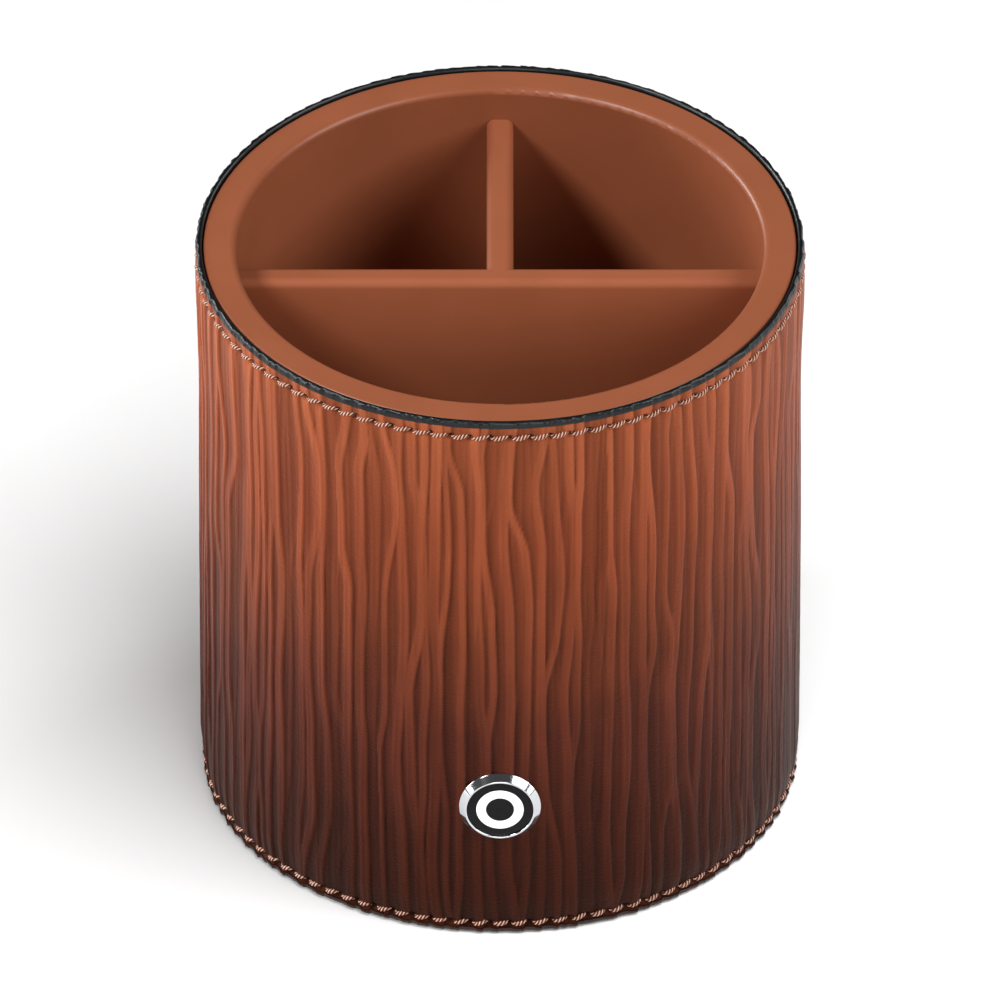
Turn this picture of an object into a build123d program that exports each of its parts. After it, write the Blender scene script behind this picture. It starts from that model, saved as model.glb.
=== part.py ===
from build123d import *
import math
import os

# Pen holder cup: a round leather cup with a moulded liner, a T-shaped divider and a small round
# emblem at the front. Millimetres. The origin is the centre of the resting face, +Z is up, and
# the front, which carries the emblem, faces -Y.

# Driving dimensions of the body
BODY_RADIUS = 47.0          # outside of the leather sleeve in its straight middle
BODY_HEIGHT = 100.0         # from the surface to the top of the black edge
GLUE_LINE = 0.05            # space left for glue between pieces that are bonded
BUTT_GAP = 0.2              # where the two ends of the sleeve meet at the back

# Leather sleeve, its backing and its painted edges
LEATHER = 1.0
BACKING = 0.4
TOP_EDGE = 0.8              # height of the painted bead on the top edge
BOTTOM_EDGE = 0.5           # height of the painted bead on the bottom edge
EDGE_ROUND = 0.25           # rounding of both beads
EDGE_LIFT = 0.3             # bottom bead above the surface
FLARE = 0.45                # the sleeve opens by this much towards its top edge
FLARE_DEPTH = 6.0           # the sleeve is at its widest down to here below the top
FLARE_LENGTH = 14.0
TUCK = 0.45                 # the sleeve is drawn in by this much at its bottom edge
TUCK_HEIGHT = 1.6           # the sleeve is at its narrowest up to here
TUCK_LENGTH = 4.4

# Stitching
THREAD_RADIUS = 0.4
STITCH_PITCH = 3.15
STITCH_LENGTH = 2.7
STITCH_SLANT = 12.0         # degrees, rising to the right
TOP_ROW_DROP = 3.0          # top row below the top of the cup
BOTTOM_ROW_HEIGHT = 2.0
CHANNEL_WIDTH = 1.4
CHANNEL_DEPTH = 0.4
LEG_RADIUS = 0.3            # thread where it passes through the leather
HOLE_CLEARANCE = 0.05       # around a thread, stud or screw in its hole

# Core tube, base board and pad
CORE = 2.0
PAD = 1.0
PAD_INSET = 0.5             # pad edge inside the base board's edge
BOARD_STEP = 1.55           # thickness of the base board's rim under the tube
BOARD_PLUG = 2.4            # height of the base board's plug inside the tube
FIT_CLEARANCE = 0.1         # between pieces that slide into each other

# Liner cup
RIM_DROP = 0.4              # rim of the liner below the black edge
RIM_GAP = 0.2               # dark line between the rim and the sleeve
RIM_THICKNESS = 2.75
LINER_WALL = 2.25           # at the rim; the wall thickens downwards with the draft
DRAFT = 0.5                 # degrees
LIP_ROUND = 1.0
RIM_ROUND = 0.4
FLOOR = 2.5
FLOOR_ROUND = 2.0           # inside corner between floor and wall
UNDERFLOOR = 3.0            # space between the base board and the floor, bridged by the bosses

# Divider
DIVIDER = 4.2
DIVIDER_DROP = 5.7          # top of the divider below the liner's rim
DIVIDER_ROUND = 1.3
TAB_LENGTH = 12.0
TAB_WIDTH = 2.6
TAB_DEPTH = 1.5
TAB_INSET = 9.4             # outer end of each tab inside the liner's wall

# Screws that hold the liner down on the base board
SCREW_COUNT = 3
SCREW_INSET = 13.5          # screw axes inside the core tube
SCREW_RADIUS = 1.45
SCREW_HEAD_RADIUS = 2.9
SCREW_HEAD = 1.5
SCREW_BITE = 4.2            # length of screw inside the boss
SOCKET_RADIUS = 1.2
BOSS_RADIUS = 4.0

# Emblem
EMBLEM_HEIGHT = 25.5
EMBLEM_RADIUS = 6.4
EMBLEM_FRONT_RADIUS = 5.5
EMBLEM_STAND = 1.25         # front of the bezel proud of the leather
BEZEL_RIM = 0.3
INLAY_RECESS = 0.9
INLAY = 0.6
MOTIF_RADIUS = 3.7
MOTIF_LINE = 1.5
MOTIF_STAND = 0.15
STUD_RADIUS = 0.8
STUD_PLACE = 3.4            # each stud to the side of the emblem's centre
STUD_END = 0.25             # stud ends before the liner by this much
CLIP_RADIUS = 2.2
CLIP = 0.5
POCKET_DEPTH = 1.2          # inside the core tube, for the clips
POCKET_RADIUS = 7.0

# Places that follow from them
backing_outside = BODY_RADIUS - LEATHER - GLUE_LINE
core_outside = backing_outside - BACKING - GLUE_LINE
core_inside = core_outside - CORE
liner_outside = core_inside - FIT_CLEARANCE
mouth_radius = liner_outside - LINER_WALL

board_bottom = PAD + GLUE_LINE
board_ledge = board_bottom + BOARD_STEP
board_top = board_ledge + BOARD_PLUG
rim_top = BODY_HEIGHT - RIM_DROP
rim_bottom = rim_top - RIM_THICKNESS
core_top = rim_bottom - GLUE_LINE
floor_bottom = board_top + UNDERFLOOR
floor_top = floor_bottom + FLOOR
divider_top = rim_top - DIVIDER_DROP
sleeve_bottom = EDGE_LIFT + BOTTOM_EDGE
sleeve_top = BODY_HEIGHT - TOP_EDGE
flare_top = BODY_HEIGHT - FLARE_DEPTH
flare_bottom = flare_top - FLARE_LENGTH
tuck_top = TUCK_HEIGHT + TUCK_LENGTH
top_row = BODY_HEIGHT - TOP_ROW_DROP
screw_circle = core_inside - SCREW_INSET
emblem_front = BODY_RADIUS + EMBLEM_STAND


def sleeve_shift(height):
    """How far the sleeve stands outside (or inside) its straight middle at this height."""
    flare = min(max((height - flare_bottom) / FLARE_LENGTH, 0), 1)
    tuck = min(max((tuck_top - height) / TUCK_LENGTH, 0), 1)
    return FLARE * flare - TUCK * tuck


def wall_radius(height):
    """Inside of the liner's wall, which narrows downwards with the draft."""
    return mouth_radius - (rim_top - height) * math.tan(math.radians(DRAFT))


def turned(outline, rounds=()):
    """Turn a closed outline of (radius, height) points about the cup's axis. Each pair in rounds
    is a corner of the outline and its radius."""
    face = make_face(Polyline(*outline, close=True))
    for corner, radius in rounds:
        vertex = face.vertices().sort_by_distance((corner[0], corner[1], 0))[0]
        face = fillet(vertex, radius)
    return revolve(Plane.XZ * face, Axis.Z)


def ring(inside, outside, bottom, top, rounds=()):
    outline = [(inside, bottom), (outside, bottom), (outside, top), (inside, top)]
    return turned(outline, rounds)


def disc(radius, bottom, top):
    return Pos(0, 0, bottom) * Cylinder(radius, top - bottom, align=(Align.CENTER, Align.CENTER, Align.MIN))


def front_rod(radius, inner, outer, side=0.0, height=EMBLEM_HEIGHT):
    """A rod along Y at the front of the cup, from y = -outer to y = -inner."""
    rod = Cylinder(radius, outer - inner, align=(Align.CENTER, Align.CENTER, Align.MIN))
    return Pos(side, -inner, height) * Rot(90, 0, 0) * rod


def around(piece, count):
    """Copies of a piece, evenly spaced about the cup's axis."""
    return [Rot(0, 0, 360 * turn / count) * piece for turn in range(count)]


def stud_holes():
    """Holes for the emblem's two studs, through everything between the emblem and its clips."""
    radius = STUD_RADIUS + HOLE_CLEARANCE
    return [front_rod(radius, core_inside, emblem_front, side) for side in (-STUD_PLACE, STUD_PLACE)]


def butt_slot():
    """The slot between the two ends of a wrapped piece, at the back of the cup."""
    return Pos(0, BODY_RADIUS, BODY_HEIGHT / 2) * Box(BUTT_GAP, BODY_RADIUS, 2 * BODY_HEIGHT)


# Stitching: each stitch is a short bar of thread in the sewn channel with one leg that goes
# through its needle hole in the leather.

def thread_radius_at(height):
    """Distance from the cup's axis to the middle of the thread."""
    return BODY_RADIUS + sleeve_shift(height) - CHANNEL_DEPTH + GLUE_LINE + THREAD_RADIUS


def stitch_count(height):
    return round(2 * math.pi * thread_radius_at(height) / STITCH_PITCH)


def stitch_leg(height, clearance=0.0, depth=0.0):
    """The thread, or with a clearance the needle hole, through the leather at a stitch's left end."""
    bar = STITCH_LENGTH - 2 * THREAD_RADIUS
    side = -bar / 2 * math.cos(math.radians(STITCH_SLANT))
    drop = bar / 2 * math.sin(math.radians(STITCH_SLANT))
    inner = BODY_RADIUS - LEATHER + sleeve_shift(height) - depth
    radius = LEG_RADIUS + clearance
    return front_rod(radius, inner, thread_radius_at(height), side, height - drop)


def stitch(height):
    bar = STITCH_LENGTH - 2 * THREAD_RADIUS
    thread = Rot(0, 90, 0) * Cylinder(THREAD_RADIUS, bar)
    for end in (-1, 1):
        thread += Pos(end * bar / 2, 0, 0) * Sphere(THREAD_RADIUS)
    placed = Pos(0, -thread_radius_at(height), height) * Rot(0, -STITCH_SLANT, 0) * thread
    return placed + stitch_leg(height)


def stitch_row(height):
    return Compound(children=around(stitch(height), stitch_count(height)))


def needle_holes(height):
    hole = stitch_leg(height, clearance=HOLE_CLEARANCE, depth=LEATHER)
    return around(hole, stitch_count(height))


# Leather sleeve: one strip wrapped round the core, flared at the top by the liner's rim, drawn
# in at the bottom, with a shallow channel along each row of stitches.

def leather_sleeve():
    heights = [sleeve_bottom, TUCK_HEIGHT, tuck_top, flare_bottom, flare_top, sleeve_top]
    outside = [(BODY_RADIUS + sleeve_shift(height), height) for height in heights]
    inside = [(radius - LEATHER, height) for radius, height in reversed(outside)]
    sleeve = turned(outside + inside)
    for row in (BOTTOM_ROW_HEIGHT, top_row):
        floor = BODY_RADIUS + sleeve_shift(row) - CHANNEL_DEPTH
        low, high = row - CHANNEL_WIDTH / 2, row + CHANNEL_WIDTH / 2
        sleeve -= ring(floor, BODY_RADIUS + LEATHER, low, high)
        sleeve -= needle_holes(row)
    return sleeve - stud_holes() - butt_slot()


def sleeve_backing():
    """Thin board bonded behind the leather, which keeps its embossing flat on the core."""
    backing = ring(backing_outside - BACKING, backing_outside, tuck_top, core_top)
    return backing - stud_holes() - butt_slot()


def top_edge_dressing():
    outside = BODY_RADIUS + FLARE
    inside = outside - LEATHER
    rounds = [((inside, BODY_HEIGHT), EDGE_ROUND), ((outside, BODY_HEIGHT), EDGE_ROUND)]
    return ring(inside, outside, sleeve_top + GLUE_LINE, BODY_HEIGHT, rounds) - butt_slot()


def bottom_edge_dressing():
    outside = BODY_RADIUS - TUCK
    inside = outside - LEATHER
    rounds = [((outside, EDGE_LIFT), EDGE_ROUND)]
    return ring(inside, outside, EDGE_LIFT, sleeve_bottom - GLUE_LINE, rounds) - butt_slot()


# Core and base: the tube stands on the stepped edge of the base board, whose plug fits inside it.

def core_tube():
    tube = ring(core_inside, core_outside, board_ledge + GLUE_LINE, core_top)
    tube -= front_rod(POCKET_RADIUS, mouth_radius, core_inside + POCKET_DEPTH)
    return tube - stud_holes()


def screw_hole():
    """Clearance hole and countersink in the base board, on the first screw's axis."""
    hole = disc(SCREW_RADIUS + HOLE_CLEARANCE, board_bottom, board_top)
    sink = Pos(0, 0, board_bottom) * Cone(
        SCREW_HEAD_RADIUS + HOLE_CLEARANCE,
        SCREW_RADIUS + HOLE_CLEARANCE,
        SCREW_HEAD,
        align=(Align.CENTER, Align.CENTER, Align.MIN),
    )
    return Pos(0, -screw_circle, 0) * (hole + sink)


def base_board():
    board = disc(core_outside, board_bottom, board_ledge)
    board += disc(core_inside - FIT_CLEARANCE, board_ledge, board_top)
    return board - around(screw_hole(), SCREW_COUNT)


def base_pad():
    """Soft pad glued under the base board: the face that the cup rests on."""
    return disc(core_outside - PAD_INSET, 0, PAD)


def base_screws():
    top = board_top + SCREW_BITE
    head = Pos(0, 0, board_bottom) * Cone(
        SCREW_HEAD_RADIUS, SCREW_RADIUS, SCREW_HEAD, align=(Align.CENTER, Align.CENTER, Align.MIN)
    )
    socket = extrude(Pos(0, 0, board_bottom) * RegularPolygon(SOCKET_RADIUS, 6), SCREW_HEAD / 2)
    screw = head + disc(SCREW_RADIUS, board_bottom, top) - socket
    return Compound(children=around(Pos(0, -screw_circle, 0) * screw, SCREW_COUNT))


# Liner cup: moulded in one piece with a flat rim that covers the tube and the backing.

def tab_places():
    """Centre and turn of each divider tab: one at each end of the T."""
    place = wall_radius(floor_top) - TAB_INSET - TAB_LENGTH / 2
    return [(-place, 0, 0), (place, 0, 0), (0, place, 90)]


def divider_tabs(clearance=0.0):
    """The divider's tabs, or with a clearance the slots for them in the liner's floor."""
    size = (TAB_LENGTH + 2 * clearance, TAB_WIDTH + 2 * clearance, TAB_DEPTH + clearance)
    tab = Box(*size, align=(Align.CENTER, Align.CENTER, Align.MAX))
    return [Pos(x, y, floor_top) * Rot(0, 0, turn) * tab for x, y, turn in tab_places()]


def liner_cup():
    rim_outside = BODY_RADIUS + FLARE - LEATHER - RIM_GAP
    outline = [
        (0, floor_bottom),
        (liner_outside, floor_bottom),
        (liner_outside, rim_bottom),
        (rim_outside, rim_bottom),
        (rim_outside, rim_top),
        (mouth_radius, rim_top),
        (wall_radius(floor_top), floor_top),
        (0, floor_top),
    ]
    rounds = [
        ((rim_outside, rim_top), RIM_ROUND),
        ((mouth_radius, rim_top), LIP_ROUND),
        ((wall_radius(floor_top), floor_top), FLOOR_ROUND),
    ]
    liner = turned(outline, rounds)
    boss = disc(BOSS_RADIUS, board_top + GLUE_LINE, floor_bottom + FLOOR / 2)
    liner += around(Pos(0, -screw_circle, 0) * boss, SCREW_COUNT)
    pilot_top = board_top + SCREW_BITE + HOLE_CLEARANCE
    pilot = disc(SCREW_RADIUS + HOLE_CLEARANCE, board_top, pilot_top)
    liner -= around(Pos(0, -screw_circle, 0) * pilot, SCREW_COUNT)
    return liner - divider_tabs(FIT_CLEARANCE)


# Divider: a T seen from above, with a rounded top, that drops into the liner on three tabs.

def divider_arm(length):
    """A straight arm along X, its rounded top at the divider's height."""
    height = divider_top - floor_top - GLUE_LINE
    section = Rectangle(DIVIDER, height, align=(Align.CENTER, Align.MIN))
    section = fillet(section.vertices().group_by(Axis.Y)[-1], DIVIDER_ROUND)
    return Pos(0, 0, floor_top + GLUE_LINE) * extrude(Plane.YZ * section, length, both=True)


def divider():
    long_arm = divider_arm(mouth_radius)
    short_arm = Rot(0, 0, 90) * Pos(mouth_radius, 0, 0) * divider_arm(mouth_radius)
    foot = wall_radius(floor_top) - FIT_CLEARANCE
    head = wall_radius(divider_top) - FIT_CLEARANCE
    core = Pos(0, 0, floor_top) * Cone(
        foot, head, divider_top - floor_top, align=(Align.CENTER, Align.CENTER, Align.MIN)
    )
    corner = ring(foot - FLOOR_ROUND, foot + FLOOR_ROUND, floor_top - FLOOR, floor_top + FLOOR_ROUND)
    panel = (long_arm + short_arm) & core
    panel -= corner
    root = [Pos(0, 0, GLUE_LINE) * tab for tab in divider_tabs()]
    return panel + root


# Emblem: a bevelled metal bezel with two studs, a black inlay and a plain ring as its motif. Its
# back follows the round of the leather, and the studs are held by push-on clips inside the tube.

def emblem_bezel():
    seat = BODY_RADIUS + GLUE_LINE
    depth = emblem_front - core_outside
    slope = (EMBLEM_RADIUS - EMBLEM_FRONT_RADIUS) / EMBLEM_STAND
    bevel = Cone(
        EMBLEM_FRONT_RADIUS + slope * depth,
        EMBLEM_FRONT_RADIUS,
        depth,
        align=(Align.CENTER, Align.CENTER, Align.MIN),
    )
    bezel = Pos(0, -core_outside, EMBLEM_HEIGHT) * Rot(90, 0, 0) * bevel
    bezel &= front_rod(EMBLEM_RADIUS, core_outside, emblem_front)
    bezel -= disc(seat, 0, BODY_HEIGHT)
    inlay_radius = EMBLEM_FRONT_RADIUS - BEZEL_RIM
    bezel -= front_rod(inlay_radius, emblem_front - INLAY_RECESS, emblem_front)
    for side in (-STUD_PLACE, STUD_PLACE):
        stud_foot = emblem_front - INLAY_RECESS - GLUE_LINE
        bezel += front_rod(STUD_RADIUS, liner_outside + STUD_END, stud_foot, side)
    return bezel


def emblem_inlay():
    radius = EMBLEM_FRONT_RADIUS - BEZEL_RIM - GLUE_LINE
    back = emblem_front - INLAY_RECESS + GLUE_LINE
    return front_rod(radius, back, back + INLAY)


def emblem_motif():
    back = emblem_front - INLAY_RECESS + 2 * GLUE_LINE + INLAY
    motif = front_rod(MOTIF_RADIUS, back, back + MOTIF_STAND)
    return motif - front_rod(MOTIF_RADIUS - MOTIF_LINE, back, back + MOTIF_STAND)


def emblem_clips():
    seat = core_inside + POCKET_DEPTH - GLUE_LINE
    clips = []
    for side in (-STUD_PLACE, STUD_PLACE):
        clip = front_rod(CLIP_RADIUS, seat - CLIP, seat, side)
        clips.append(clip - front_rod(STUD_RADIUS + HOLE_CLEARANCE, seat - CLIP, seat, side))
    return Compound(children=clips)


pieces = {
    "leather_sleeve": leather_sleeve(),
    "sleeve_backing": sleeve_backing(),
    "top_edge_dressing": top_edge_dressing(),
    "bottom_edge_dressing": bottom_edge_dressing(),
    "top_stitching": stitch_row(top_row),
    "bottom_stitching": stitch_row(BOTTOM_ROW_HEIGHT),
    "core_tube": core_tube(),
    "base_board": base_board(),
    "base_pad": base_pad(),
    "base_screws": base_screws(),
    "liner_cup": liner_cup(),
    "divider": divider(),
    "emblem_bezel": emblem_bezel(),
    "emblem_inlay": emblem_inlay(),
    "emblem_motif": emblem_motif(),
    "emblem_clips": emblem_clips(),
}

os.makedirs("parts", exist_ok=True)
for name, piece in pieces.items():
    export_step(piece, f"parts/{name}.step")
    print(name, len(piece.solids()), round(piece.volume, 1))
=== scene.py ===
import math
import bpy
import numpy as np
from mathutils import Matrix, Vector


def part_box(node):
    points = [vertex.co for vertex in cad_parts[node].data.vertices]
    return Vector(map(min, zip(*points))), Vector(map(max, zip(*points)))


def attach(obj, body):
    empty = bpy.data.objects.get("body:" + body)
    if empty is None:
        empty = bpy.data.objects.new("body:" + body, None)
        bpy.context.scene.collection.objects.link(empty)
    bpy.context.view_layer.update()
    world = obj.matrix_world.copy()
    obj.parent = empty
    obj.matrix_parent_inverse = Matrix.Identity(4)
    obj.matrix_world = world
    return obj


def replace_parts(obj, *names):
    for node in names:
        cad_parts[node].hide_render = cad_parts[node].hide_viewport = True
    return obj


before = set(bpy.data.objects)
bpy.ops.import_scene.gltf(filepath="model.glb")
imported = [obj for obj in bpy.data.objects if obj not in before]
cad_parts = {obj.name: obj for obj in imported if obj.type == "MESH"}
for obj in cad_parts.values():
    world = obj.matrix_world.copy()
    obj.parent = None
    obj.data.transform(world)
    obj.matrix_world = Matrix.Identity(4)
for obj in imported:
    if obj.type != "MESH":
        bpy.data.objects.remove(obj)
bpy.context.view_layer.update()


# Core tube, backing and base board. The cup is wrapped on a wound greyboard tube, lined with a
# thin bonded board and closed by a fibreboard disc. All three are cut, glued and then hidden, so
# they keep the shapes they already have and only take their materials here.

def linear(code):
    """An sRGB hex colour as the linear colour that a shader takes."""
    parts = [int(code[i:i + 2], 16) / 255 for i in (1, 3, 5)]
    return [c / 12.92 if c <= 0.04045 else ((c + 0.055) / 1.055) ** 2.4 for c in parts] + [1.0]


def add(tree, kind, inputs=None, stops=None, **settings):
    """Add a shader node. An input is a number, a colour or the socket that it is linked to; stops
    are the (place, colour) pairs of a colour ramp."""
    node = tree.nodes.new(kind)
    for name, value in settings.items():
        setattr(node, name, value)
    for key, value in (inputs or {}).items():
        if isinstance(value, bpy.types.NodeSocket):
            tree.links.new(value, node.inputs[key])
        else:
            node.inputs[key].default_value = value
    for i, (place, colour) in enumerate(stops or []):
        elements = node.color_ramp.elements
        stop = elements[i] if i < 2 else elements.new(place)
        stop.position = place
        stop.color = colour
    return node


def blank(name):
    """An empty material, its node tree and its surface shader."""
    material = bpy.data.materials.new(name)
    material.use_nodes = True
    surface = next(n for n in material.node_tree.nodes if n.type == "BSDF_PRINCIPLED")
    return material, material.node_tree, surface


def place_in_mm(tree):
    """The place of each point in millimetres, in the cup's own frame."""
    where = add(tree, "ShaderNodeTexCoord").outputs["Object"]
    scaled = add(tree, "ShaderNodeVectorMath", {0: where, 1: (1000, 1000, 1000)}, operation="MULTIPLY")
    return scaled.outputs[0]


def board(name, dark, light, fibre_mm):
    """Pressed board: short fibres of two tones, matt all over."""
    material, tree, surface = blank(name)
    place = place_in_mm(tree)
    fibres = add(tree, "ShaderNodeTexNoise", {"Vector": place, "Scale": 1 / fibre_mm, "Detail": 5.0})
    tones = add(tree, "ShaderNodeValToRGB", {"Fac": fibres.outputs["Fac"]},
                stops=[(0.35, linear(dark)), (0.65, linear(light))])
    relief = add(tree, "ShaderNodeBump",
                 {"Height": fibres.outputs["Fac"], "Strength": 0.4, "Distance": 0.00005})
    tree.links.new(tones.outputs["Color"], surface.inputs["Base Color"])
    tree.links.new(relief.outputs["Normal"], surface.inputs["Normal"])
    surface.inputs["Roughness"].default_value = 0.85
    return material


def dress(node, material):
    """Give one of the frame's own nodes its material."""
    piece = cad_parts[node]
    piece.data.materials.clear()
    piece.data.materials.append(material)


dress("core_tube", board("greyboard", "#6d675f", "#8f897f", 0.9))
dress("sleeve_backing", board("bonded_leather_board", "#6a4a34", "#8a654a", 0.6))
dress("base_board", board("fibreboard", "#6b4c33", "#94704f", 0.7))


# Screws and push-on clips. The screws are small turned steel, zinc plated, so their faces are bright
# but slightly clouded. The clips are pressed from bare spring steel, which is near enough to it in
# tone to share the material out of sight.

def zinc_plated_steel():
    """Zinc plate has a fine cloudy grain that breaks its shine into soft patches."""
    grain_mm = 0.625
    material, tree, surface = blank("zinc_plated_steel")
    clouds = add(tree, "ShaderNodeTexNoise",
                 {"Vector": place_in_mm(tree), "Scale": 1 / grain_mm, "Detail": 4.0})
    tones = add(tree, "ShaderNodeValToRGB", {"Fac": clouds.outputs["Fac"]},
                stops=[(0.3, linear("#a3a5a8")), (0.7, linear("#c4c6c8"))])
    dullness = add(tree, "ShaderNodeMapRange",
                   {"Value": clouds.outputs["Fac"], "To Min": 0.25, "To Max": 0.45})
    tree.links.new(tones.outputs["Color"], surface.inputs["Base Color"])
    tree.links.new(dullness.outputs["Result"], surface.inputs["Roughness"])
    surface.inputs["Metallic"].default_value = 1.0
    return material


plated = zinc_plated_steel()
dress("base_screws", plated)
dress("emblem_clips", plated)


# Liner cup and divider. Both are moulded in ABS and sprayed with a soft-touch coat in tan, the
# divider as one T. The coat is a satin skin with a very fine orange-peel that softens highlights.

def soft_touch_coat():
    """A soft-touch coat is satin: it lights up broadly on round edges and shows no moulding marks."""
    grit_mm = 0.35
    cloud_mm = 14.0
    material, tree, surface = blank("soft_touch_tan_coat")
    place = place_in_mm(tree)
    clouds = add(tree, "ShaderNodeTexNoise", {"Vector": place, "Scale": 1 / cloud_mm, "Detail": 3.0})
    tones = add(tree, "ShaderNodeValToRGB", {"Fac": clouds.outputs["Fac"]},
                stops=[(0.3, linear("#8e5034")), (0.7, linear("#955438"))])
    grit = add(tree, "ShaderNodeTexNoise", {"Vector": place, "Scale": 1 / grit_mm, "Detail": 2.0})
    peel = add(tree, "ShaderNodeBump",
               {"Height": grit.outputs["Fac"], "Strength": 0.25, "Distance": 0.00002})
    dullness = add(tree, "ShaderNodeMapRange",
                   {"Value": clouds.outputs["Fac"], "To Min": 0.36, "To Max": 0.42})
    tree.links.new(tones.outputs["Color"], surface.inputs["Base Color"])
    tree.links.new(peel.outputs["Normal"], surface.inputs["Normal"])
    tree.links.new(dullness.outputs["Result"], surface.inputs["Roughness"])
    surface.inputs["IOR"].default_value = 1.46
    surface.inputs["Specular IOR Level"].default_value = 0.4
    return material


coat = soft_touch_coat()
dress("liner_cup", coat)
dress("divider", coat)


# Base pad. A disc of short-napped microfibre suede, die cut and glued under the base board. Its
# cut edge is slightly crushed, and the nap lies in soft patches.

MM = 0.001


def ring_mesh(name, rings, material, closed=True, capped=False):
    """A smooth mesh skinned over rings of points. Closed joins the last ring to the first; capped
    closes the first and the last with a flat face each."""
    sharp_degrees = 50
    count, width = rings.shape[:2]
    spans = count if closed else count - 1
    low = np.arange(spans)[:, None] * width + np.arange(width)[None, :]
    high = (low // width + 1) % count * width + low % width
    turn = np.roll(np.arange(width), -1)
    faces = np.stack([low, low[:, turn], high[:, turn], high], axis=-1).reshape(-1, 4).tolist()
    if capped:
        faces.append(list(range(width))[::-1])
        faces.append(list(range((count - 1) * width, count * width)))
    mesh = bpy.data.meshes.new(name)
    mesh.from_pydata(rings.reshape(-1, 3).tolist(), [], faces)
    mesh.shade_smooth()
    mesh.set_sharp_from_angle(angle=math.radians(sharp_degrees))
    mesh.materials.append(material)
    piece = bpy.data.objects.new(name, mesh)
    bpy.context.scene.collection.objects.link(piece)
    return piece


def turned_rings(radii, heights, columns):
    """Rings of points about the cup's axis, one for each radius and height, in millimetres."""
    turn = np.linspace(0, 2 * np.pi, columns, endpoint=False)
    radii = np.broadcast_to(np.reshape(radii, (len(heights), -1)), (len(heights), columns))
    heights = np.broadcast_to(np.reshape(heights, (len(heights), -1)), (len(heights), columns))
    return np.stack([radii * np.cos(turn), radii * np.sin(turn), heights], axis=-1) * MM


def microfibre_suede():
    """Suede is a dense nap: no gloss, a pale bloom at grazing angles, and brushed patches."""
    patches_per_mm = 0.12
    tufts_per_mm = 3.0
    material, tree, surface = blank("microfibre_suede")
    place = place_in_mm(tree)
    brushed = add(tree, "ShaderNodeTexNoise", {"Vector": place, "Scale": patches_per_mm, "Detail": 4.0})
    tones = add(tree, "ShaderNodeValToRGB", {"Fac": brushed.outputs["Fac"]},
                stops=[(0.35, linear("#2a1a14")), (0.65, linear("#3a261d"))])
    nap = add(tree, "ShaderNodeTexNoise", {"Vector": place, "Scale": tufts_per_mm, "Detail": 4.0})
    fuzz = add(tree, "ShaderNodeBump", {"Height": nap.outputs["Fac"], "Strength": 0.8, "Distance": 0.0001})
    tree.links.new(tones.outputs["Color"], surface.inputs["Base Color"])
    tree.links.new(fuzz.outputs["Normal"], surface.inputs["Normal"])
    surface.inputs["Roughness"].default_value = 0.95
    surface.inputs["Sheen Weight"].default_value = 0.5
    surface.inputs["Sheen Roughness"].default_value = 0.4
    return material


def base_pad():
    """A flat disc whose cut edge is crushed to a small round above and below."""
    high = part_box("base_pad")[1]
    radius = high.x / MM
    thickness = high.z / MM
    crush = 0.3
    centre_ring = 2
    corner = np.radians(np.linspace(0, 90, 5))
    edge_radii = radius - crush + crush * np.sin(corner)
    edge_heights = crush - crush * np.cos(corner)
    inner = np.linspace(centre_ring, radius - crush, 24, endpoint=False)
    radii = np.concatenate([inner, edge_radii, edge_radii[::-1], inner[::-1]])
    heights = np.concatenate([
        np.zeros(len(inner)),
        edge_heights,
        thickness - edge_heights[::-1],
        np.full(len(inner), thickness),
    ])
    pad = ring_mesh("suede_base_pad", turned_rings(radii, heights, 180), microfibre_suede(), False, True)
    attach(pad, "root")
    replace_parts(pad, "base_pad")


base_pad()


# Leather sleeve. One strip of calf leather, plate-embossed in upright ridges that wander, fork
# and close again round long furrows, then hand-shaded from tan at the top to dark brown at the
# bottom. It is wrapped round the core with its ends butted at the back, flared by the liner's rim
# at the top and drawn in at the bottom, and it sinks a little along both rows of stitches.

BODY_RADIUS = 47.0
LEATHER_MM = 1.0
FLARE_MM = 0.45
TUCK_MM = 0.45
TOP_BEAD_MM = 0.8
BOTTOM_BEAD_MM = 0.5
BOTTOM_LIFT_MM = 0.3
RELIEF_MM = 0.45            # from the furrows to the ridges
RIDGES = 134
SLEEVE_COLUMNS = 1440
FRONT = -math.pi / 2
BACK = math.pi / 2
BEZEL_RADIUS = 6.4
cup_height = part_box("top_edge_dressing")[1].z / MM
top_row = sum(corner.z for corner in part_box("top_stitching")) / 2 / MM
bottom_row = sum(corner.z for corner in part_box("bottom_stitching")) / 2 / MM
emblem_height = sum(corner.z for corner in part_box("emblem_bezel")) / 2 / MM
leather_low = BOTTOM_LIFT_MM + BOTTOM_BEAD_MM
leather_high = cup_height - TOP_BEAD_MM


def ease(value, start, end):
    """Smooth step from 0 at start to 1 at end."""
    t = np.clip((value - start) / (end - start), 0, 1)
    return t * t * (3 - 2 * t)


def wander(rng, turn, height, waves, most_turns, shortest_mm):
    """Smooth irregular waves over the sleeve, about -1 to 1, that meet where they close round it."""
    total = np.zeros(np.broadcast(turn, height).shape)
    for _ in range(waves):
        turns = rng.integers(1, most_turns)
        rise = rng.uniform(-1, 1) * 2 * math.pi / shortest_mm
        total += np.sin(turns * turn + rise * height + rng.uniform(0, 2 * math.pi))
    return total / math.sqrt(waves)


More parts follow.
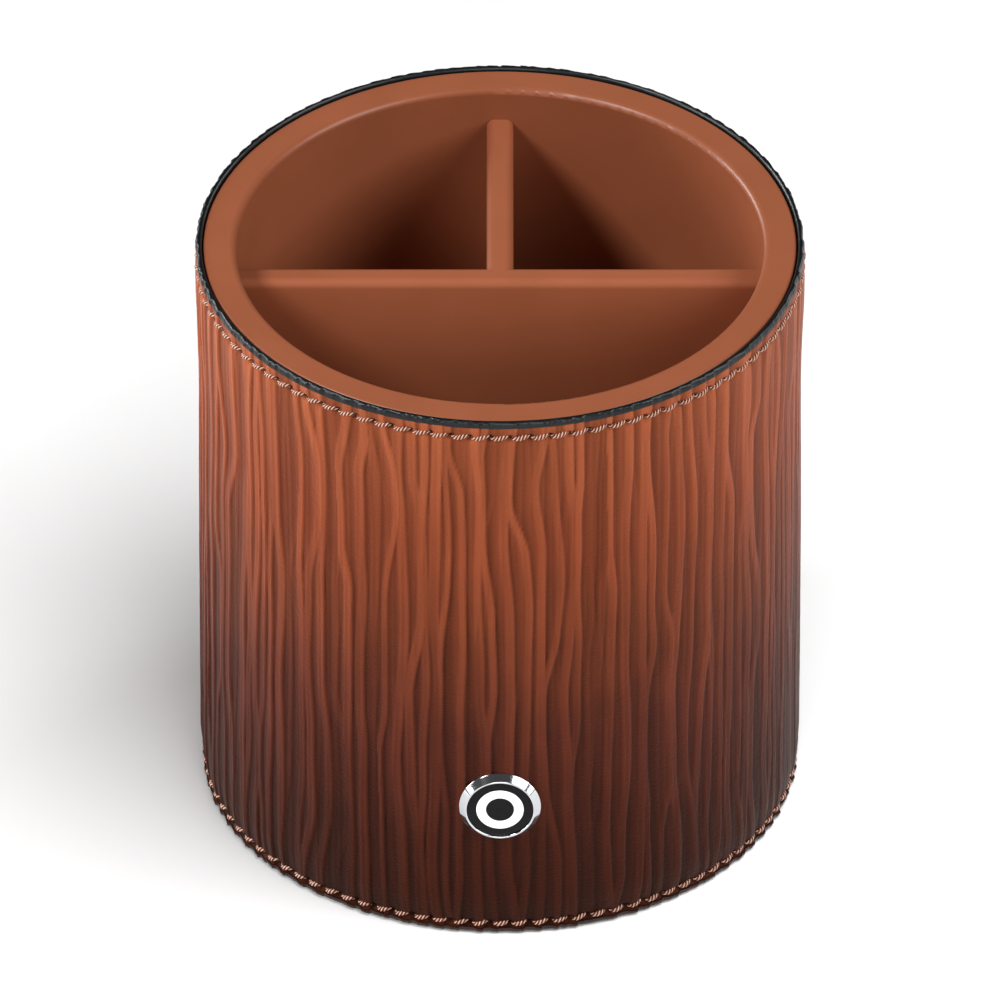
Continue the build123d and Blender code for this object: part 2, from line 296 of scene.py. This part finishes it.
def furrow_ends(rng, count):
    """Where furrows close up: the furrow, the middle height and half length of the closed stretch,
    and the lengths over which it narrows below and above. None lies beside another."""
    tries = 6000
    lowest, highest = -12, 112
    clear_mm = 38
    closed = []
    for _ in range(tries):
        furrow = int(rng.integers(count))
        middle = rng.uniform(lowest, highest)
        half = rng.uniform(2, 14)
        below, above = rng.uniform(8, 20, 2)
        clear = True
        for other, other_middle, other_half, _, _ in closed:
            apart = abs(furrow - other)
            beside = min(apart, count - apart) < 2
            clear = clear and not (beside and abs(middle - other_middle) < half + other_half + clear_mm)
        if clear:
            closed.append((furrow, middle, half, below, above))
    return closed


def ridge_lines(rng, heights, count, pitch):
    """Centre lines of the ridges in millimetres round the cup, one row for each height. Where a
    furrow closes, one of its ridges leans over to the other, and their neighbours follow a little."""
    uneven = 0.28
    swings = ((26, 0.05), (58, 0.1))        # wavelength in mm and share of the pitch
    overlap = 0.84
    follow = 0.35
    followers = 5
    widths = rng.uniform(1 - uneven, 1 + uneven, count)
    places = np.cumsum(widths) * pitch * count / widths.sum()
    lines = np.tile(places, (len(heights), 1))
    for ridge in range(count):
        for wavelength, swing in swings:
            phase = rng.uniform(0, 2 * math.pi)
            length = wavelength * rng.uniform(0.8, 1.25)
            lines[:, ridge] += swing * pitch * np.sin(2 * math.pi * heights / length + phase)
    for furrow, middle, half, below, above in furrow_ends(rng, count):
        closing = ease(heights, middle - half - below, middle - half)
        closing *= 1 - ease(heights, middle + half, middle + half + above)
        left = lines[:, furrow - 1] - pitch * count * (furrow == 0)
        gap = lines[:, furrow] - left
        step = overlap * gap * closing
        lean = rng.beta(0.5, 0.5)
        for away in range(followers):
            lines[:, (furrow + away) % count] -= lean * step * follow ** away
            lines[:, (furrow - 1 - away) % count] += (1 - lean) * step * follow ** away
    return np.sort(lines, axis=1)


def ridge_relief(rng, heights, columns, count, steep_mm, gentle_mm):
    """Height of the embossing from 0 in the furrows to 1 on the ridges, one row per height. The
    right side of each ridge stands up steeply from its furrow and the left side slopes gently."""
    sway_mm = 0.3
    uneven = 0.17
    faint_share, faint = 0.14, 0.45         # some ridges are pressed only this high
    narrow, wide = 0.1, 0.3                 # half width of a ridge's flat top, of the pitch
    shoulder = 0.8
    slant = 0.55
    girth = 2 * math.pi * BODY_RADIUS
    pitch = girth / count
    lines = ridge_lines(rng, heights, count, pitch)
    turn = np.linspace(0, 2 * np.pi, columns, endpoint=False)
    sway = wander(rng, turn[None, :], heights[:, None], 12, 9, 60) * sway_mm
    beat = rng.uniform(9, 22, count)
    phase = rng.uniform(0, 2 * math.pi, count)
    crests = 1 - uneven + uneven * np.sin(heights[:, None] / beat + phase)
    crests *= np.where(rng.random(count) < faint_share, faint, 1.0)
    halves = rng.uniform(narrow, wide, count) * pitch
    relief = np.zeros((len(heights), columns))
    for row, line in enumerate(lines):
        ends = np.concatenate([line[-3:] - girth, line, line[:3] + girth])
        spot = turn / (2 * np.pi) * girth + sway[row]
        right = np.clip(np.searchsorted(ends, spot), 1, len(ends) - 1)
        left = right - 1
        left_ridge = (left - 3) % count
        right_ridge = (right - 3) % count
        past = spot - ends[left] - halves[left_ridge]
        before = ends[right] - halves[right_ridge] - spot
        falling = crests[row, left_ridge] * (1 - ease(past, 0, steep_mm))
        rising = crests[row, right_ridge] * (1 - ease(before, 0, gentle_mm))
        across = np.clip(past / np.maximum(past + before, 0.4), 0, 1)
        slope = slant * crests[row, right_ridge] * across
        tilt = shoulder + (1 - shoulder) * ease(spot - ends[left], -0.2, halves[left_ridge] + 0.05)
        relief[row] = np.maximum(falling * tilt, np.maximum(rising * shoulder, slope))
    return np.clip(relief, 0, 1)


def sleeve_heights():
    """Heights of the sleeve's rings: close together at both sewn edges, wider in between."""
    fine_mm = 0.28
    middle_rings = 82
    return np.concatenate([
        np.arange(leather_low, bottom_row + 2.2, fine_mm),
        np.linspace(bottom_row + 2.4, top_row - 2.4, middle_rings),
        np.arange(top_row - 2.1, leather_high + 0.01, fine_mm),
    ])


def sleeve_shift(heights):
    """How far the sleeve stands outside its straight middle: flared above, drawn in below."""
    flare_from, flare_to = 26, 5            # below the top
    tuck_from, tuck_to = 7.0, 1.2           # above the bottom
    flare = ease(heights, cup_height - flare_from, cup_height - flare_to)
    tuck = ease(-heights, -tuck_from, -tuck_to)
    return FLARE_MM * flare - TUCK_MM * tuck


def stitch_count(height):
    """Stitches in a row, at eight to the inch along the middle of the thread."""
    pitch_mm = 3.15
    proud_mm = 0.05
    shift = float(sleeve_shift(np.array([height]))[0])
    return round(2 * math.pi * (BODY_RADIUS + shift + proud_mm) / pitch_mm)


def sewn_dents(turn, height, row_height):
    """Depth of the leather's surface along one row of stitches: a shallow channel, a pit at each needle hole,
    and slight puckers that the pull of the thread gives. Also how near each point is to a needle hole, for
    the painted shade in the holes."""
    channel_depth, channel_half = 0.2, 0.7
    pit_depth, pit_half_width, pit_half_height = 0.55, 0.5, 0.42
    pucker_depth, pucker_reach = 0.07, 2.2
    count = stitch_count(row_height)
    pitch = 2 * math.pi * BODY_RADIUS / count
    along = (turn - turn_of_first_stitch(count)) / (2 * math.pi) * count
    to_hole = (along - np.round(along)) * pitch
    rise = height - row_height
    channel = channel_depth * np.exp(-(rise / channel_half) ** 2)
    pit = np.exp(-(to_hole / pit_half_width) ** 2 - (rise / pit_half_height) ** 2)
    pull = np.exp(-(np.abs(rise) / pucker_reach) ** 1.5)
    pucker = pucker_depth * np.cos(2 * math.pi * along) * pull
    return channel + pit_depth * pit + pucker, pit


def turn_of_first_stitch(count):
    """The first needle hole lies half a stitch to the left of the middle of the front."""
    return FRONT - math.pi / count


def leather_surface(heights, columns):
    """Outer radius of the leather at each point, how high the point lies in the embossing, from 0 to 1, and
    how much painted shade it takes in the needle holes, the butt seam and the groove round the emblem."""
    fine_share = 0.2
    top_softness = 0.15
    soft_from, soft_to = 9, 1               # below the top
    roll_mm, roll_reach = 0.2, 0.9
    moat_depth, moat_half, moat_shade = 0.15, 0.3, 0.8
    butt_depth, butt_half = 0.5, 0.22
    rng = np.random.default_rng(12)
    turn = np.linspace(0, 2 * np.pi, columns, endpoint=False)[None, :]
    height = heights[:, None]
    plate = ridge_relief(rng, heights, columns, RIDGES, 0.4, 0.7)
    fine = ridge_relief(rng, heights, columns, RIDGES * 2, 0.3, 0.5)
    tone = (1 - fine_share) * plate + fine_share * fine
    soft_top = 1 - top_softness * ease(height, cup_height - soft_from, cup_height - soft_to)
    side = (turn - FRONT) * BODY_RADIUS
    from_emblem = np.hypot(side, height - emblem_height)
    flattened = ease(from_emblem, BEZEL_RADIUS - 1.2, BEZEL_RADIUS + 0.5)
    relief = RELIEF_MM * (tone - 0.5) * soft_top * flattened
    moat = np.exp(-((from_emblem - BEZEL_RADIUS - 0.2) / moat_half) ** 2)
    rolled = roll_mm * ease(height, leather_high - roll_reach, leather_high) ** 2
    top_dents, top_pit_shade = sewn_dents(turn, height, top_row)
    low_dents, low_pit_shade = sewn_dents(turn, height, bottom_row)
    butt = butt_depth * np.exp(-(((turn - BACK) * BODY_RADIUS) / butt_half) ** 2)
    radius = BODY_RADIUS + sleeve_shift(height) + relief - rolled
    radius = radius - top_dents - low_dents - butt - moat_depth * moat
    # Painted shade: the needle holes, the butt seam and the groove round the emblem are marked here to be
    # darkened in colour.
    painted_pit_shade = np.clip(top_pit_shade + low_pit_shade + butt + moat_shade * moat, 0, 1)
    return radius, np.clip(tone, 0, 1), painted_pit_shade


def embossed_calf_leather():
    """Aniline-dyed calf with a lacquer finish: the dye is rubbed off the ridges and pools in the
    furrows, the shading runs from tan to near black-brown, and a fine grain breaks the shine. Each
    tone below goes with a share of the cup's height."""
    grain_mm = 0.45
    blotch_mm = 9.0
    shade_wander_mm = 7.0
    furrow_tones = [(0.0, "#0f0201"), (0.17, "#160502"), (0.37, "#230905"), (0.57, "#351407"),
                    (0.76, "#481c0d"), (1.0, "#522310")]
    ridge_tones = [(0.0, "#2a0d04"), (0.17, "#371309"), (0.37, "#4d2115"), (0.57, "#68311d"),
                   (0.76, "#7c3c23"), (1.0, "#8a482c")]
    material, tree, surface = blank("embossed_calf_leather")
    place = place_in_mm(tree)
    tone = add(tree, "ShaderNodeAttribute", attribute_name="emboss").outputs["Fac"]
    pit = add(tree, "ShaderNodeAttribute", attribute_name="pit").outputs["Fac"]
    height = add(tree, "ShaderNodeSeparateXYZ", {0: place}).outputs["Z"]
    blotches = add(tree, "ShaderNodeTexNoise", {"Vector": place, "Scale": 1 / blotch_mm, "Detail": 4.0})
    patch = add(tree, "ShaderNodeMapRange",
                {"Value": blotches.outputs["Fac"], "To Min": -shade_wander_mm, "To Max": shade_wander_mm})
    uneven = add(tree, "ShaderNodeMath", {0: height, 1: patch.outputs["Result"]}, operation="ADD")
    level = add(tree, "ShaderNodeMath", {0: uneven.outputs[0], 1: cup_height}, operation="DIVIDE").outputs[0]
    furrow = add(tree, "ShaderNodeValToRGB", {"Fac": level}, [(p, linear(c)) for p, c in furrow_tones])
    ridge = add(tree, "ShaderNodeValToRGB", {"Fac": level}, [(p, linear(c)) for p, c in ridge_tones])
    rubbed = add(tree, "ShaderNodeMapRange", {"Value": tone, "From Min": 0.0, "From Max": 0.8})
    dyed = add(tree, "ShaderNodeMix",
               {0: rubbed.outputs["Result"], 6: furrow.outputs["Color"], 7: ridge.outputs["Color"]},
               data_type="RGBA")
    # Painted shade: in the needle holes, the butt seam and the groove round the emblem the colour is mixed
    # towards near black.
    shaded_in_pits = add(tree, "ShaderNodeMix", {0: pit, 6: dyed.outputs[2], 7: linear("#1c0a06")}, data_type="RGBA")
    grain = add(tree, "ShaderNodeTexVoronoi", {"Vector": place, "Scale": 1 / grain_mm}, feature="SMOOTH_F1")
    pores = add(tree, "ShaderNodeTexNoise", {"Vector": place, "Scale": 2 / grain_mm, "Detail": 3.0})
    skin = add(tree, "ShaderNodeMath", {0: grain.outputs["Distance"], 1: pores.outputs["Fac"]},
               operation="ADD")
    squeezed = add(tree, "ShaderNodeVectorMath", {0: place, 1: (0.9, 0.9, 4.0)}, operation="MULTIPLY")
    creases = add(tree, "ShaderNodeTexNoise", {"Vector": squeezed.outputs[0], "Scale": 1.0, "Detail": 3.0})
    crush = add(tree, "ShaderNodeMapRange", {"Value": tone, "To Min": 2.2, "To Max": 0.5})
    crossed = add(tree, "ShaderNodeMath",
                  {0: creases.outputs["Fac"], 1: crush.outputs["Result"], 2: skin.outputs[0]},
                  operation="MULTIPLY_ADD")
    bump = add(tree, "ShaderNodeBump", {"Height": crossed.outputs[0], "Strength": 0.6, "Distance": 0.00009})
    shine = add(tree, "ShaderNodeMapRange", {"Value": tone, "To Min": 0.55, "To Max": 0.4})
    tree.links.new(shaded_in_pits.outputs[2], surface.inputs["Base Color"])
    tree.links.new(bump.outputs["Normal"], surface.inputs["Normal"])
    tree.links.new(shine.outputs["Result"], surface.inputs["Roughness"])
    surface.inputs["IOR"].default_value = 1.45
    surface.inputs["Specular IOR Level"].default_value = 0.15
    surface.inputs["Specular Tint"].default_value = linear("#f0b090")
    return material


def leather_sleeve():
    """The sleeve, a closed tube whose outside is embossed. Returns its top and bottom outlines."""
    hidden_tone = 0.3
    heights = sleeve_heights()
    outer, tone, painted_pit_shade = leather_surface(heights, SLEEVE_COLUMNS)
    inside = BODY_RADIUS - LEATHER_MM + sleeve_shift(heights[[-1, 0]])[:, None]
    radii = np.concatenate([outer, np.broadcast_to(inside, (2, SLEEVE_COLUMNS))])
    rings = turned_rings(radii, np.append(heights, heights[[-1, 0]]), SLEEVE_COLUMNS)
    sleeve = ring_mesh("embossed_leather_sleeve", rings, embossed_calf_leather())
    # The second layer holds the painted shade for the needle holes, the seam and the groove round the emblem.
    for name, values in (("emboss", tone), ("pit", painted_pit_shade)):
        layer = sleeve.data.attributes.new(name, "FLOAT", "POINT")
        hidden = np.full((2, SLEEVE_COLUMNS), hidden_tone)
        layer.data.foreach_set("value", np.concatenate([values, hidden]).astype(np.float32).ravel())
    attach(sleeve, "root")
    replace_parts(sleeve, "leather_sleeve")
    return outer[-1], outer[0]


top_outline, bottom_outline = leather_sleeve()


# Painted edges. The leather's cut edges are sealed with several coats of edge paint, rounded and
# burnished: slate black at the top, where it shows as a bead that follows each ridge, and dark
# brown at the bottom.

def edge_paint(name, dark, light):
    """Edge paint is a rubbery lacquer, satin, with faint lumps where the coats built up."""
    lumps_per_mm = 0.9
    material, tree, surface = blank(name)
    place = place_in_mm(tree)
    lumps = add(tree, "ShaderNodeTexNoise", {"Vector": place, "Scale": lumps_per_mm, "Detail": 3.0})
    tones = add(tree, "ShaderNodeValToRGB", {"Fac": lumps.outputs["Fac"]},
                stops=[(0.3, linear(dark)), (0.7, linear(light))])
    coats = add(tree, "ShaderNodeBump",
                {"Height": lumps.outputs["Fac"], "Strength": 0.5, "Distance": 0.0001})
    tree.links.new(tones.outputs["Color"], surface.inputs["Base Color"])
    tree.links.new(coats.outputs["Normal"], surface.inputs["Normal"])
    surface.inputs["Roughness"].default_value = 0.35
    surface.inputs["Specular IOR Level"].default_value = 0.25
    return material


def edge_bead(name, outline, inside, start, end, material):
    """A bead of paint on a cut edge. It runs from the leather at start to its crown at end. Its
    outer side stands a little proud of the leather and runs down into the ends of the furrows."""
    proud_mm = 0.18
    run_mm = 0.6
    flatness = 0.6
    arc = np.linspace(0, math.pi, 13)
    outside = outline + proud_mm
    middle = (outside + inside) / 2
    half = (outside - inside) / 2
    radii = middle[None, :] + half[None, :] * np.cos(arc)[:, None]
    bulge = np.sin(arc)[:, None] ** flatness
    depth = (outline.max() - outline) / np.ptp(outline)
    foot = start - math.copysign(run_mm, end - start) * depth
    heights = foot[None, :] + (end - foot)[None, :] * bulge
    radii = np.concatenate([radii, middle[None, :]])
    heights = np.concatenate([heights, foot[None, :]])
    return ring_mesh(name, turned_rings(radii, heights, len(outline)), material)


def painted_edges():
    """Both beads. Each covers the last tenth of a millimetre of the leather."""
    cover_mm = 0.1
    top_inside = BODY_RADIUS + FLARE_MM - LEATHER_MM
    top = edge_bead("black_top_edge", top_outline, top_inside, leather_high - cover_mm, cup_height,
                    edge_paint("slate_edge_paint", "#06090b", "#0c1012"))
    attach(top, "root")
    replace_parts(top, "top_edge_dressing")
    bottom_inside = BODY_RADIUS - TUCK_MM - LEATHER_MM
    bottom = edge_bead("brown_bottom_edge", bottom_outline, bottom_inside, leather_low + cover_mm,
                       BOTTOM_LIFT_MM, edge_paint("umber_edge_paint", "#1c0d08", "#2b140c"))
    bottom.data.flip_normals()
    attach(bottom, "root")
    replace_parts(bottom, "bottom_edge_dressing")


painted_edges()


# Stitching. Three-ply waxed thread, S-twisted, sewn eight stitches to the inch. Each stitch comes
# out of its needle hole low on the left, lies over the leather and dives in again on the right,
# so the row looks like a chain of short slanting ropes.

def waxed_thread():
    """Waxed polyester thread, brown, with a painted highlight on the crown of each ply and painted shade
    where the plies meet."""
    # Painted highlight and shade: pale cream at the crown of each ply, near black in the grooves between the
    # plies.
    ply_highlight_and_shade_tones = [(0.0, "#140804"), (0.55, "#451d10"), (0.9, "#925f49"), (1.0, "#d6b09c")]
    material, tree, surface = blank("waxed_polyester_thread")
    ply = add(tree, "ShaderNodeAttribute", attribute_name="ply").outputs["Fac"]
    tones = add(tree, "ShaderNodeValToRGB", {"Fac": ply}, [(p, linear(c)) for p, c in ply_highlight_and_shade_tones])
    tree.links.new(tones.outputs["Color"], surface.inputs["Base Color"])
    surface.inputs["Roughness"].default_value = 0.45
    surface.inputs["Specular IOR Level"].default_value = 0.3
    surface.inputs["Coat Weight"].default_value = 0.1
    surface.inputs["Coat Roughness"].default_value = 0.25
    return material


def stitch_rings(rng, first_turn, count, index, row_height, share):
    """Rings of one stitch, from its left hole to its right hole, and how near each point is to the
    crown of a ply. The share is how much of the way between the holes the stitch covers."""
    thread_mm = 0.4
    lay_mm = 1.6
    plies = 3
    sunk_mm = 0.75
    arch_mm = 0.62
    slant_mm = 0.36
    end_share = 0.55
    valley, crown = 0.72, 1.04
    steps = 34
    around = 20
    pitch = 2 * math.pi / count
    t = np.linspace(0, 1, steps)
    arch = np.sin(math.pi * t) ** 0.5
    span = 0.5 - share / 2 + share * t
    turn = first_turn + pitch * (index + span + rng.normal(0, 0.02))
    shift = float(sleeve_shift(np.array([row_height]))[0])
    lift = BODY_RADIUS + shift - sunk_mm + (arch_mm + rng.normal(0, 0.03)) * arch
    slant = slant_mm + rng.normal(0, 0.06)
    height = row_height - slant * np.cos(math.pi * span) * arch ** 0.5
    line = np.stack([lift * np.cos(turn), lift * np.sin(turn), height], axis=-1)
    along = np.gradient(line, axis=0)
    along /= np.linalg.norm(along, axis=1, keepdims=True)
    out = np.stack([np.cos(turn), np.sin(turn), np.zeros(steps)], axis=-1)
    up = np.cross(out, along)
    up /= np.linalg.norm(up, axis=1, keepdims=True)
    out = np.cross(along, up)
    length = np.concatenate([[0], np.cumsum(np.linalg.norm(np.diff(line, axis=0), axis=1))])
    angle = np.linspace(0, 2 * math.pi, around, endpoint=False)
    phase = rng.uniform(0, 2 * math.pi)
    twist = 2 * math.pi * length[:, None] / lay_mm
    strand = np.abs(np.cos(plies / 2 * (angle[None, :] - twist + phase)))
    taper = (end_share + (1 - end_share) * arch)[:, None]
    thickness = thread_mm * taper * (valley + (crown - valley) * strand)
    across = np.cos(angle)[None, :, None] * out[:, None, :] + np.sin(angle)[None, :, None] * up[:, None, :]
    return (line[:, None, :] + thickness[:, :, None] * across) * MM, strand


def stitch_row(name, row_height, share, seed, material):
    """One row of separate stitches all the way round, as one piece."""
    rng = np.random.default_rng(seed)
    count = stitch_count(row_height)
    points, faces, plies = [], [], []
    for index in range(count):
        rings, strand = stitch_rings(rng, turn_of_first_stitch(count), count, index, row_height, share)
        steps, around = strand.shape
        base = index * steps * around
        low = base + np.arange(steps - 1)[:, None] * around + np.arange(around)[None, :]
        turn = np.roll(np.arange(around), -1)
        quads = np.stack([low, low[:, turn], low[:, turn] + around, low + around], axis=-1)
        faces.extend(quads.reshape(-1, 4).tolist())
        faces.append(list(range(base, base + around))[::-1])
        faces.append(list(range(base + (steps - 1) * around, base + steps * around)))
        points.append(rings.reshape(-1, 3))
        plies.append(strand.ravel())
    mesh = bpy.data.meshes.new(name)
    mesh.from_pydata(np.concatenate(points).tolist(), [], faces)
    mesh.shade_smooth()
    mesh.materials.append(material)
    layer = mesh.attributes.new("ply", "FLOAT", "POINT")
    layer.data.foreach_set("value", np.concatenate(plies).astype(np.float32))
    row = bpy.data.objects.new(name, mesh)
    bpy.context.scene.collection.objects.link(row)
    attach(row, "root")
    return row


thread = waxed_thread()
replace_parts(stitch_row("top_edge_stitches", top_row, 0.84, 5, thread), "top_stitching")
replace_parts(stitch_row("bottom_edge_stitches", bottom_row, 0.68, 6, thread), "bottom_stitching")


# Emblem. A turned brass bezel, polished and plated bright, with a broad bevel, holds a disc of
# black enamel with a plain white ring. The two studs on its back, which pass through the leather
# out of sight, are left out here.

def bright_plate():
    """Polished plate mirrors the room, with only hairlines from the last polish."""
    hairlines_per_mm = 5.0
    material, tree, surface = blank("bright_plated_brass")
    hairs = add(tree, "ShaderNodeTexNoise",
                {"Vector": place_in_mm(tree), "Scale": hairlines_per_mm, "Detail": 3.0})
    polish = add(tree, "ShaderNodeMapRange",
                 {"Value": hairs.outputs["Fac"], "To Min": 0.04, "To Max": 0.12})
    tone = add(tree, "ShaderNodeValToRGB", {"Fac": hairs.outputs["Fac"]},
               stops=[(0.3, linear("#c2c4c8")), (0.7, linear("#cdced1"))])
    tree.links.new(tone.outputs["Color"], surface.inputs["Base Color"])
    tree.links.new(polish.outputs["Result"], surface.inputs["Roughness"])
    surface.inputs["Metallic"].default_value = 1.0
    return material


def enamel(name, dark, light):
    """Fired enamel: deep even colour under a glassy surface that is never quite flat."""
    ripples_per_mm = 0.5
    material, tree, surface = blank(name)
    melt = add(tree, "ShaderNodeTexNoise",
               {"Vector": place_in_mm(tree), "Scale": ripples_per_mm, "Detail": 2.0})
    tones = add(tree, "ShaderNodeValToRGB", {"Fac": melt.outputs["Fac"]},
                stops=[(0.3, linear(dark)), (0.7, linear(light))])
    ripple = add(tree, "ShaderNodeBump",
                 {"Height": melt.outputs["Fac"], "Strength": 0.15, "Distance": 0.0001})
    tree.links.new(tones.outputs["Color"], surface.inputs["Base Color"])
    tree.links.new(ripple.outputs["Normal"], surface.inputs["Normal"])
    surface.inputs["Roughness"].default_value = 0.12
    surface.inputs["IOR"].default_value = 1.52
    surface.inputs["Specular IOR Level"].default_value = 0.12
    return material


def emblem_rings(flat, rounded=()):
    """Rings about the emblem's own axis, from (radius, distance) points. A flat ring lies that far
    in front of the cup's axis; a rounded one lies on a round of that radius, like the leather."""
    columns = 144
    angle = np.linspace(0, 2 * math.pi, columns, endpoint=False)
    rings = []
    for points, follows in ((rounded, 1.0), (flat, 0.0)):
        for radius, distance in points:
            x = radius * np.cos(angle)
            y = -np.sqrt(distance ** 2 - (follows * x) ** 2)
            rings.append(np.stack([x, y, emblem_height + radius * np.sin(angle)], axis=-1))
    return np.stack(rings) * MM


front = -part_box("emblem_bezel")[0].y / MM
bezel_face = 5.5
recess_radius = 5.2
inlay_face = front - 0.2


def bezel():
    """The bezel's back lies on the leather, and its bevel rises to a narrow flat face round a
    recess for the inlay."""
    bevel_depth = 0.97
    recess_floor = front - 0.9
    soften = 0.05
    back = BODY_RADIUS - 0.4
    rounded = [(0.5, back), (BEZEL_RADIUS - 0.4, back), (BEZEL_RADIUS, BODY_RADIUS - 0.1),
               (BEZEL_RADIUS, BODY_RADIUS + 0.12)]
    flat = [(BEZEL_RADIUS + (bezel_face - BEZEL_RADIUS) * t, front - 1.0 + bevel_depth * t)
            for t in (0.0, 0.04, 0.5, 0.96, 1.0)]
    flat += [(bezel_face - soften, front), (recess_radius + soften, front),
             (recess_radius, front - soften), (recess_radius, recess_floor + soften),
             (recess_radius - soften, recess_floor), (0.5, recess_floor)]
    ring = ring_mesh("emblem_bezel_ring", emblem_rings(flat, rounded), bright_plate())
    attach(ring, "root")
    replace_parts(ring, "emblem_bezel")


def inlay():
    """A disc of enamel with a softened edge, very slightly domed."""
    radius = recess_radius - 0.04
    back = inlay_face - 0.6
    outline = [(0.3, back), (radius, back), (radius, inlay_face - 0.12),
               (radius - 0.04, inlay_face - 0.04), (radius - 0.15, inlay_face - 0.01),
               (radius * 0.6, inlay_face + 0.02), (0.3, inlay_face + 0.03)]
    disc = ring_mesh("black_enamel_disc", emblem_rings(outline),
                     enamel("black_enamel", "#08080a", "#0e0e10"), False, True)
    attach(disc, "root")
    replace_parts(disc, "emblem_inlay")


def motif():
    """A plain ring of white enamel, raised and rounded over the disc."""
    outer, inner = 3.7, 2.2
    raised_mm = 0.12
    sunk_mm = 0.05
    middle = (outer + inner) / 2
    half = (outer - inner) / 2
    arc = np.linspace(0, math.pi, 9)
    outline = [(middle + half * math.cos(a), inlay_face + 0.02 + raised_mm * math.sin(a) ** 0.5)
               for a in arc]
    outline += [(inner, inlay_face - sunk_mm), (outer, inlay_face - sunk_mm)]
    ring = ring_mesh("white_enamel_ring", emblem_rings(outline),
                     enamel("white_enamel", "#f2f2f0", "#fafaf8"))
    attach(ring, "root")
    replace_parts(ring, "emblem_motif")


bezel()
inlay()
motif()


# Floor, lights and camera. A plain pale floor, a soft key light at each side of the cup, one for
# the floor, low fill and rim lights round them, and a long lens from the front, above the rim.

def floor():
    """A large flat floor, so pale that it is white where the lights reach it."""
    size = 4.0
    mesh = bpy.data.meshes.new("pale_floor")
    corners = [(-size, -size, 0), (size, -size, 0), (size, size, 0), (-size, size, 0)]
    mesh.from_pydata(corners, [], [(0, 1, 2, 3)])
    material, _, surface = blank("pale_floor_paint")
    surface.inputs["Base Color"].default_value = linear("#f4f4f4")
    surface.inputs["Roughness"].default_value = 0.9
    mesh.materials.append(material)
    piece = bpy.data.objects.new("pale_floor", mesh)
    bpy.context.scene.collection.objects.link(piece)
    return piece


def soft_light(name, azimuth, elevation, size, power, lit):
    """A square soft light that faces the cup and reaches only the lit pieces. Its angles are in
    degrees, from +X and from the level; its size is in metres and its power in watts."""
    distance = 1.2
    around = math.radians(azimuth)
    rise = math.radians(elevation)
    away = Vector((math.cos(around) * math.cos(rise), math.sin(around) * math.cos(rise), math.sin(rise)))
    lamp = bpy.data.lights.new(name, "AREA")
    lamp.size = size
    lamp.energy = power
    light = bpy.data.objects.new(name, lamp)
    light.location = Vector((0, 0, cup_height / 2 * MM)) + distance * away
    light.rotation_euler = away.to_track_quat("Z", "Y").to_euler()
    bpy.context.scene.collection.objects.link(light)
    reached = bpy.data.collections.new("lit_by_" + name)
    for piece in lit:
        reached.objects.link(piece)
    light.light_linking.receiver_collection = reached
    return light


def studio():
    """The key lights shine into the cup from above. The low fills pass over its liner and divider,
    so that it stays dark inside. The divider has a fill of its own, without glare."""
    air = 0.08
    cup = [piece for piece in bpy.context.scene.objects if piece.type == "MESH"]
    ground = floor()
    inside = [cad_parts["liner_cup"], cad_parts["divider"]]
    outside = [piece for piece in cup + [ground] if piece not in inside]
    soft_light("right_light", 337, 35, 0.8, 13.0, cup)
    soft_light("left_light", 207, 47, 0.3, 11.8, cup)
    soft_light("left_rim_light", 150, 15, 0.4, 11.0, cup)
    soft_light("floor_light", 316, 65, 0.9, 16.5, [ground])
    soft_light("front_fill", 270, 18, 0.6, 7.0, outside)
    soft_light("divider_fill", 270, 18, 0.6, 7.0, [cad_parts["divider"]]).visible_glossy = False
    soft_light("left_fill", 190, 14, 0.5, 11.0, outside)
    soft_light("right_fill", 350, 12, 0.5, 3.0, outside)
    soft_light("right_rim_light", 30, 15, 0.4, 4.0, outside)
    world = bpy.data.worlds.new("studio_air")
    bpy.context.scene.world = world
    world.use_nodes = True
    background = world.node_tree.nodes["Background"]
    background.inputs["Color"].default_value = (1, 1, 1, 1)
    background.inputs["Strength"].default_value = air
    bpy.context.scene.view_settings.view_transform = "Standard"


def camera():
    """A long lens, six metres away and 36.6 degrees above the level of the cup's middle."""
    distance = 6.0
    elevation = math.radians(36.6)
    view_width = 0.1567
    sensor_mm = 36.0
    lens = bpy.data.cameras.new("long_lens")
    lens.sensor_width = sensor_mm
    lens.lens = sensor_mm * distance / view_width
    lens.clip_end = 20
    aim = Vector((0, 0, cup_height / 2 * MM))
    view = bpy.data.objects.new("long_lens", lens)
    view.location = aim + distance * Vector((0, -math.cos(elevation), math.sin(elevation)))
    view.rotation_euler = (aim - view.location).to_track_quat("-Z", "Y").to_euler()
    bpy.context.scene.collection.objects.link(view)
    bpy.context.scene.camera = view


studio()
camera()
